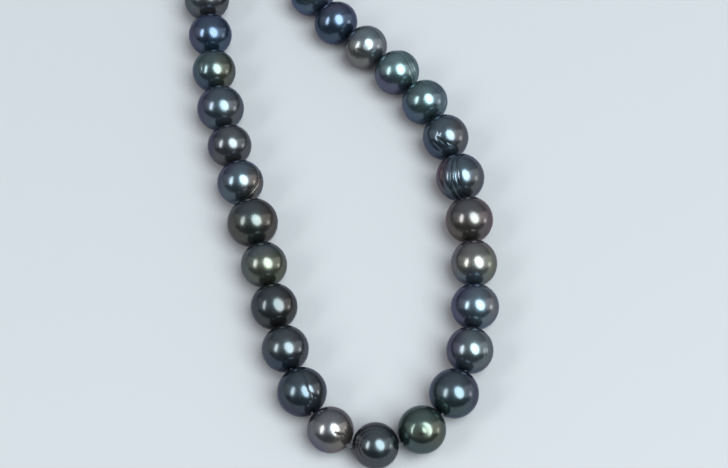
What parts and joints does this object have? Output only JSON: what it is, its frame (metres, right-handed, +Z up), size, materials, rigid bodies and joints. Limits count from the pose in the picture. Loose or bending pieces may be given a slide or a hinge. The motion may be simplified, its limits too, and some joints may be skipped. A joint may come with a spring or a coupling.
{
  "type": "pearl necklace",
  "caption": "Strand of dark round pearls set edge to edge on silk, closed by gimp loops, wire rings and a sprung lobster claw, laid flat as a loop.",
  "frame": {"origin": "on the resting surface, under the middle of the necklace's bounding box", "axes": "+Y along the loop, from the centre pearl towards the clasp; +Z up from the resting surface; +X to the right, seen from above with the clasp away from the viewer"},
  "size_m": [0.0794, 0.2019, 0.0108],
  "materials": {
    "nacre": "polished dark nacre, with green, blue and violet overtones",
    "silk": "twisted black silk",
    "gimp": "fine silver-coloured wound wire",
    "white_metal": "polished rhodium-plated white metal"
  },
  "bodies": {
    "pearl_01": {"pearl_01": "nacre"},
    "pearl_02": {"pearl_02": "nacre"},
    "pearl_03": {"pearl_03": "nacre"},
    "pearl_04": {"pearl_04": "nacre"},
    "pearl_05": {"pearl_05": "nacre"},
    "pearl_06": {"pearl_06": "nacre"},
    "pearl_07": {"pearl_07": "nacre"},
    "pearl_08": {"pearl_08": "nacre"},
    "pearl_09": {"pearl_09": "nacre"},
    "pearl_10": {"pearl_10": "nacre"},
    "pearl_11": {"pearl_11": "nacre"},
    "pearl_12": {"pearl_12": "nacre"},
    "pearl_13": {"pearl_13": "nacre"},
    "pearl_14": {"pearl_14": "nacre"},
    "pearl_15": {"pearl_15": "nacre"},
    "pearl_16": {"pearl_16": "nacre"},
    "pearl_17": {"pearl_17": "nacre"},
    "pearl_18": {"pearl_18": "nacre"},
    "pearl_19": {"pearl_19": "nacre"},
    "pearl_20": {"pearl_20": "nacre"},
    "pearl_21": {"pearl_21": "nacre"},
    "pearl_22": {"pearl_22": "nacre", "silk_thread": "silk"},
    "pearl_23": {"pearl_23": "nacre"},
    "pearl_24": {"pearl_24": "nacre"},
    "pearl_25": {"pearl_25": "nacre"},
    "pearl_26": {"pearl_26": "nacre"},
    "pearl_27": {"pearl_27": "nacre"},
    "pearl_28": {"pearl_28": "nacre"},
    "pearl_29": {"pearl_29": "nacre"},
    "pearl_30": {"pearl_30": "nacre"},
    "pearl_31": {"pearl_31": "nacre"},
    "pearl_32": {"pearl_32": "nacre"},
    "pearl_33": {"pearl_33": "nacre"},
    "pearl_34": {"pearl_34": "nacre"},
    "pearl_35": {"pearl_35": "nacre"},
    "pearl_36": {"pearl_36": "nacre"},
    "pearl_37": {"pearl_37": "nacre"},
    "pearl_38": {"pearl_38": "nacre"},
    "pearl_39": {"pearl_39": "nacre"},
    "pearl_40": {"pearl_40": "nacre"},
    "pearl_41": {"pearl_41": "nacre"},
    "pearl_42": {"pearl_42": "nacre"},
    "pearl_43": {"pearl_43": "nacre"},
    "gimp_left": {"gimp_left": "gimp"},
    "gimp_right": {"gimp_right": "gimp"},
    "catch_ring": {"catch_ring": "white_metal"},
    "jump_ring": {"jump_ring": "white_metal"},
    "claw": {"claw_body": "white_metal", "lever_pin": "white_metal", "lever_spring": "white_metal"},
    "lever": {"claw_lever": "white_metal"}
  },
  "joints": [
    {"name": "fold_21", "type": "hinge", "parent": "pearl_22", "child": "pearl_21", "pos_m": [0.00898, -0.09653, 0.00489], "axis": [0.9991, 0.0402, 0.0098], "range_deg": [0, 15], "deforming": ["silk_thread"]},
    {"name": "fold_23", "type": "hinge", "parent": "pearl_22", "child": "pearl_23", "pos_m": [0.01914, -0.09612, 0.00499], "axis": [0.9991, 0.0402, 0.0098], "range_deg": [0, 15]},
    {"name": "fold_20", "type": "hinge", "parent": "pearl_21", "child": "pearl_20", "pos_m": [0.00162, -0.08969, 0.00509], "axis": [0.9999, -0.0105, 0.0039], "range_deg": [0, 15]},
    {"name": "fold_24", "type": "hinge", "parent": "pearl_23", "child": "pearl_24", "pos_m": [0.02741, -0.08997, 0.00519], "axis": [0.9999, -0.0105, 0.0039], "range_deg": [0, 15]},
    {"name": "fold_19", "type": "hinge", "parent": "pearl_20", "child": "pearl_19", "pos_m": [-0.00278, -0.08021, 0.00519], "axis": [0.9999, -0.0123, 0], "range_deg": [0, 15]},
    {"name": "fold_25", "type": "hinge", "parent": "pearl_24", "child": "pearl_25", "pos_m": [0.03229, -0.08064, 0.00519], "axis": [0.9999, -0.0123, 0], "range_deg": [0, 15]},
    {"name": "fold_18", "type": "hinge", "parent": "pearl_19", "child": "pearl_18", "pos_m": [-0.00552, -0.07062, 0.00509], "axis": [1, -0.0056, 0.0018], "range_deg": [0, 15]},
    {"name": "fold_26", "type": "hinge", "parent": "pearl_25", "child": "pearl_26", "pos_m": [0.03439, -0.07085, 0.00517], "axis": [1, -0.0056, 0.0018], "range_deg": [0, 15]},
    {"name": "fold_17", "type": "hinge", "parent": "pearl_18", "child": "pearl_17", "pos_m": [-0.00783, -0.06094, 0.00509], "axis": [1, 0.0011, 0.0017], "range_deg": [0, 15]},
    {"name": "fold_27", "type": "hinge", "parent": "pearl_26", "child": "pearl_27", "pos_m": [0.03499, -0.06089, 0.00516], "axis": [1, 0.0011, 0.0017], "range_deg": [0, 15]},
    {"name": "fold_16", "type": "hinge", "parent": "pearl_17", "child": "pearl_16", "pos_m": [-0.01023, -0.05128, 0.00537], "axis": [0.9999, 0.0166, -0.004], "range_deg": [0, 15]},
    {"name": "fold_28", "type": "hinge", "parent": "pearl_27", "child": "pearl_28", "pos_m": [0.03469, -0.05054, 0.00519], "axis": [0.9999, 0.0166, -0.004], "range_deg": [0, 15]},
    {"name": "fold_15", "type": "hinge", "parent": "pearl_16", "child": "pearl_15", "pos_m": [-0.01324, -0.04096, 0.00544], "axis": [0.9999, 0.0155, -0.0011], "range_deg": [0, 15]},
    {"name": "fold_29", "type": "hinge", "parent": "pearl_28", "child": "pearl_29", "pos_m": [0.0336, -0.04024, 0.00539], "axis": [0.9999, 0.0155, -0.0011], "range_deg": [0, 15]},
    {"name": "fold_14", "type": "hinge", "parent": "pearl_15", "child": "pearl_14", "pos_m": [-0.01613, -0.03144, 0.00513], "axis": [0.9993, 0.0368, 0.0054], "range_deg": [0, 15]},
    {"name": "fold_30", "type": "hinge", "parent": "pearl_29", "child": "pearl_30", "pos_m": [0.0314, -0.02969, 0.00539], "axis": [0.9993, 0.0368, 0.0054], "range_deg": [0, 15]},
    {"name": "fold_13", "type": "hinge", "parent": "pearl_14", "child": "pearl_13", "pos_m": [-0.01863, -0.02222, 0.00524], "axis": [0.9988, 0.049, 0.0022], "range_deg": [0, 15]},
    {"name": "fold_31", "type": "hinge", "parent": "pearl_30", "child": "pearl_31", "pos_m": [0.02781, -0.01994, 0.00534], "axis": [0.9988, 0.049, 0.0022], "range_deg": [0, 15]},
    {"name": "fold_12", "type": "hinge", "parent": "pearl_13", "child": "pearl_12", "pos_m": [-0.02083, -0.01211, 0.00527], "axis": [0.9999, 0.0164, 0.0027], "range_deg": [0, 15]},
    {"name": "fold_32", "type": "hinge", "parent": "pearl_31", "child": "pearl_32", "pos_m": [0.02262, -0.01139, 0.00538], "axis": [0.9999, 0.0164, 0.0027], "range_deg": [0, 15]},
    {"name": "fold_11", "type": "hinge", "parent": "pearl_12", "child": "pearl_11", "pos_m": [-0.02234, -0.00227, 0.00509], "axis": [0.9988, -0.0491, 0.0067], "range_deg": [0, 15]},
    {"name": "fold_33", "type": "hinge", "parent": "pearl_32", "child": "pearl_33", "pos_m": [0.01576, -0.00414, 0.00535], "axis": [0.9988, -0.0491, 0.0067], "range_deg": [0, 15]},
    {"name": "fold_10", "type": "hinge", "parent": "pearl_11", "child": "pearl_10", "pos_m": [-0.02341, 0.00763, 0.00524], "axis": [0.9866, -0.1632, 0.0022], "range_deg": [0, 15]},
    {"name": "fold_34", "type": "hinge", "parent": "pearl_33", "child": "pearl_34", "pos_m": [0.0087, 0.00232, 0.00531], "axis": [0.9866, -0.1632, 0.0022], "range_deg": [0, 15]},
    {"name": "fold_09", "type": "hinge", "parent": "pearl_10", "child": "pearl_09", "pos_m": [-0.02478, 0.01749, 0.00531], "axis": [0.958, -0.2869, 0], "range_deg": [0, 15]},
    {"name": "fold_35", "type": "hinge", "parent": "pearl_34", "child": "pearl_35", "pos_m": [0.00222, 0.0094, 0.00531], "axis": [0.958, -0.2869, 0], "range_deg": [0, 15]},
    {"name": "fold_08", "type": "hinge", "parent": "pearl_09", "child": "pearl_08", "pos_m": [-0.0271, 0.02717, 0.00507], "axis": [0.9385, -0.345, 0.0106], "range_deg": [0, 15]},
    {"name": "fold_36", "type": "hinge", "parent": "pearl_35", "child": "pearl_36", "pos_m": [-0.00221, 0.01803, 0.00535], "axis": [0.9385, -0.345, 0.0106], "range_deg": [0, 15]},
    {"name": "fold_07", "type": "hinge", "parent": "pearl_08", "child": "pearl_07", "pos_m": [-0.02986, 0.03632, 0.00499], "axis": [0.9551, -0.2957, 0.0152], "range_deg": [0, 15]},
    {"name": "fold_37", "type": "hinge", "parent": "pearl_36", "child": "pearl_37", "pos_m": [-0.0033, 0.0281, 0.00541], "axis": [0.9551, -0.2957, 0.0152], "range_deg": [0, 15]},
    {"name": "fold_06", "type": "hinge", "parent": "pearl_07", "child": "pearl_06", "pos_m": [-0.03252, 0.04591, 0.00527], "axis": [0.9722, -0.2344, 0], "range_deg": [0, 15]},
    {"name": "fold_38", "type": "hinge", "parent": "pearl_37", "child": "pearl_38", "pos_m": [-0.00084, 0.03827, 0.00527], "axis": [0.9722, -0.2344, 0], "range_deg": [0, 15]},
    {"name": "fold_05", "type": "hinge", "parent": "pearl_06", "child": "pearl_05", "pos_m": [-0.03437, 0.05611, 0.00527], "axis": [0.9735, -0.2287, -0.007], "range_deg": [0, 15]},
    {"name": "fold_39", "type": "hinge", "parent": "pearl_38", "child": "pearl_39", "pos_m": [0.00372, 0.04716, 0.00499], "axis": [0.9735, -0.2287, -0.007], "range_deg": [0, 15]},
    {"name": "fold_04", "type": "hinge", "parent": "pearl_05", "child": "pearl_04", "pos_m": [-0.03494, 0.06607, 0.00524], "axis": [0.9711, -0.2385, -0.0039], "range_deg": [0, 15]},
    {"name": "fold_40", "type": "hinge", "parent": "pearl_39", "child": "pearl_40", "pos_m": [0.00862, 0.05537, 0.00507], "axis": [0.9711, -0.2385, -0.0039], "range_deg": [0, 15]},
    {"name": "fold_03", "type": "hinge", "parent": "pearl_04", "child": "pearl_03", "pos_m": [-0.03415, 0.07602, 0.00514], "axis": [0.9708, -0.2398, 0.0036], "range_deg": [0, 15]},
    {"name": "fold_41", "type": "hinge", "parent": "pearl_40", "child": "pearl_41", "pos_m": [0.01292, 0.06439, 0.00531], "axis": [0.9708, -0.2398, 0.0036], "range_deg": [0, 15]},
    {"name": "fold_02", "type": "hinge", "parent": "pearl_03", "child": "pearl_02", "pos_m": [-0.03167, 0.08533, 0.00507], "axis": [0.9729, -0.2313, 0.0036], "range_deg": [0, 15]},
    {"name": "fold_42", "type": "hinge", "parent": "pearl_41", "child": "pearl_42", "pos_m": [0.01498, 0.07424, 0.00524], "axis": [0.9729, -0.2313, 0.0036], "range_deg": [0, 15]},
    {"name": "fold_01", "type": "hinge", "parent": "pearl_02", "child": "pearl_01", "pos_m": [-0.02608, 0.0938, 0.00507], "axis": [0.9725, -0.233, -0.0018], "range_deg": [0, 15]},
    {"name": "fold_43", "type": "hinge", "parent": "pearl_42", "child": "pearl_43", "pos_m": [0.01366, 0.08428, 0.00499], "axis": [0.9725, -0.233, -0.0018], "range_deg": [0, 15]},
    {"name": "gimp_left_fold", "type": "hinge", "parent": "pearl_01", "child": "gimp_left", "pos_m": [-0.01779, 0.09878, 0.00489], "axis": [0.9741, -0.226, 0], "range_deg": [0, 15]},
    {"name": "gimp_right_fold", "type": "hinge", "parent": "pearl_43", "child": "gimp_right", "pos_m": [0.0088, 0.09261, 0.00489], "axis": [0.9741, -0.226, 0], "range_deg": [0, 15]},
    {"name": "catch_ring_roll", "type": "hinge", "parent": "gimp_left", "child": "catch_ring", "pos_m": [-0.0148, 0.09809, 0.0035], "axis": [0.973, -0.2257, -0.0472], "range_deg": [-12, 12]},
    {"name": "jump_ring_roll", "type": "hinge", "parent": "gimp_right", "child": "jump_ring", "pos_m": [0.00581, 0.09331, 0.0025], "axis": [0.973, -0.2257, -0.0472], "range_deg": [-12, 12]},
    {"name": "claw_swing", "type": "hinge", "parent": "jump_ring", "child": "claw", "pos_m": [0.00157, 0.09429, 0.0028], "axis": [0, 0, 1], "range_deg": [-2, 2]},
    {"name": "lever_open", "type": "hinge", "parent": "claw", "child": "lever", "pos_m": [-0.00268, 0.09631, 0.0028], "axis": [0, 0, 1], "range_deg": [0, 24], "stiffness_Nm_per_rad": 0.004, "springref_deg": -11.46, "deforming": ["lever_spring"]}
  ],
  "couplings": [
    {"joint": "fold_23", "follows": "fold_21", "ratio": 1},
    {"joint": "fold_24", "follows": "fold_20", "ratio": 1},
    {"joint": "fold_25", "follows": "fold_19", "ratio": 1},
    {"joint": "fold_26", "follows": "fold_18", "ratio": 1},
    {"joint": "fold_27", "follows": "fold_17", "ratio": 1},
    {"joint": "fold_28", "follows": "fold_16", "ratio": 1},
    {"joint": "fold_29", "follows": "fold_15", "ratio": 1},
    {"joint": "fold_30", "follows": "fold_14", "ratio": 1},
    {"joint": "fold_31", "follows": "fold_13", "ratio": 1},
    {"joint": "fold_32", "follows": "fold_12", "ratio": 1},
    {"joint": "fold_33", "follows": "fold_11", "ratio": 1},
    {"joint": "fold_34", "follows": "fold_10", "ratio": 1},
    {"joint": "fold_35", "follows": "fold_09", "ratio": 1},
    {"joint": "fold_36", "follows": "fold_08", "ratio": 1},
    {"joint": "fold_37", "follows": "fold_07", "ratio": 1},
    {"joint": "fold_38", "follows": "fold_06", "ratio": 1},
    {"joint": "fold_39", "follows": "fold_05", "ratio": 1},
    {"joint": "fold_40", "follows": "fold_04", "ratio": 1},
    {"joint": "fold_41", "follows": "fold_03", "ratio": 1},
    {"joint": "fold_42", "follows": "fold_02", "ratio": 1},
    {"joint": "fold_43", "follows": "fold_01", "ratio": 1},
    {"joint": "gimp_right_fold", "follows": "gimp_left_fold", "ratio": 1},
    {"joint": "jump_ring_roll", "follows": "catch_ring_roll", "ratio": 1}
  ]
}
